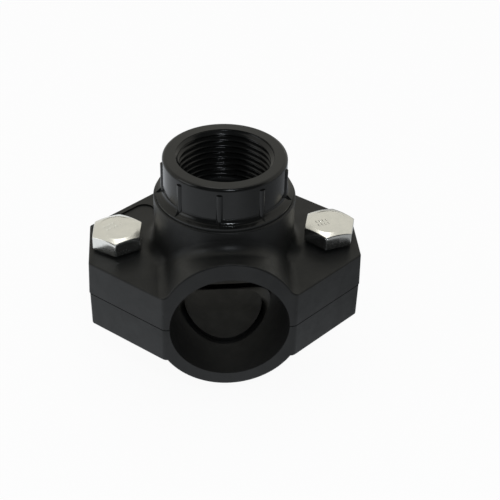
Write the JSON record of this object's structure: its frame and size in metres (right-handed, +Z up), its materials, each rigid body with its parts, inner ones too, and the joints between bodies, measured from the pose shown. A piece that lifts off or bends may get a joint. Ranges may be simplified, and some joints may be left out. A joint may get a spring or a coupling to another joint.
{
  "type": "tapping saddle",
  "caption": "Two-part plastic clamp saddle for a pipe, with hexagon bolts, a shouldered branch socket with a female thread, grip ribs and a rubber seal.",
  "frame": {"origin": "where the branch axis crosses the pipe axis, on the parting plane between the two halves", "axes": "+Y along the pipe bore, +Z up the branch towards its mouth, +X across the flanges"},
  "size_m": [0.075, 0.0516, 0.0579],
  "materials": {
    "moulded_black": "black moulded polypropylene, satin with a fine moulded grain",
    "seal_rubber": "smooth black nitrile rubber",
    "plated_steel": "zinc-plated steel, satin"
  },
  "bodies": {
    "upper_half": {"upper_saddle": "moulded_black", "seal_ring": "seal_rubber"},
    "left_bolt_body": {"left_bolt": "plated_steel"},
    "right_bolt_body": {"right_bolt": "plated_steel"},
    "lower_half": {"lower_saddle": "moulded_black", "left_nut": "plated_steel", "right_nut": "plated_steel"}
  },
  "joints": [
    {"name": "lower_half_drop", "type": "slide", "parent": "upper_half", "child": "lower_half", "axis": [0, 0, -1], "range_m": [0, 0.0075]},
    {"name": "left_bolt_turn", "type": "hinge", "parent": "upper_half", "child": "left_bolt_body", "pos_m": [-0.0293, 0, 0.0103], "axis": [0, 0, 1], "range_deg": [0, 2160]},
    {"name": "right_bolt_turn", "type": "hinge", "parent": "upper_half", "child": "right_bolt_body", "pos_m": [0.0293, 0, 0.0103], "axis": [0, 0, 1], "range_deg": [0, 2160]}
  ],
  "couplings": [
    {"joint": "left_bolt_turn", "follows": "lower_half_drop", "rad_per_m": 5026.5},
    {"joint": "right_bolt_turn", "follows": "lower_half_drop", "rad_per_m": 5026.5}
  ]
}
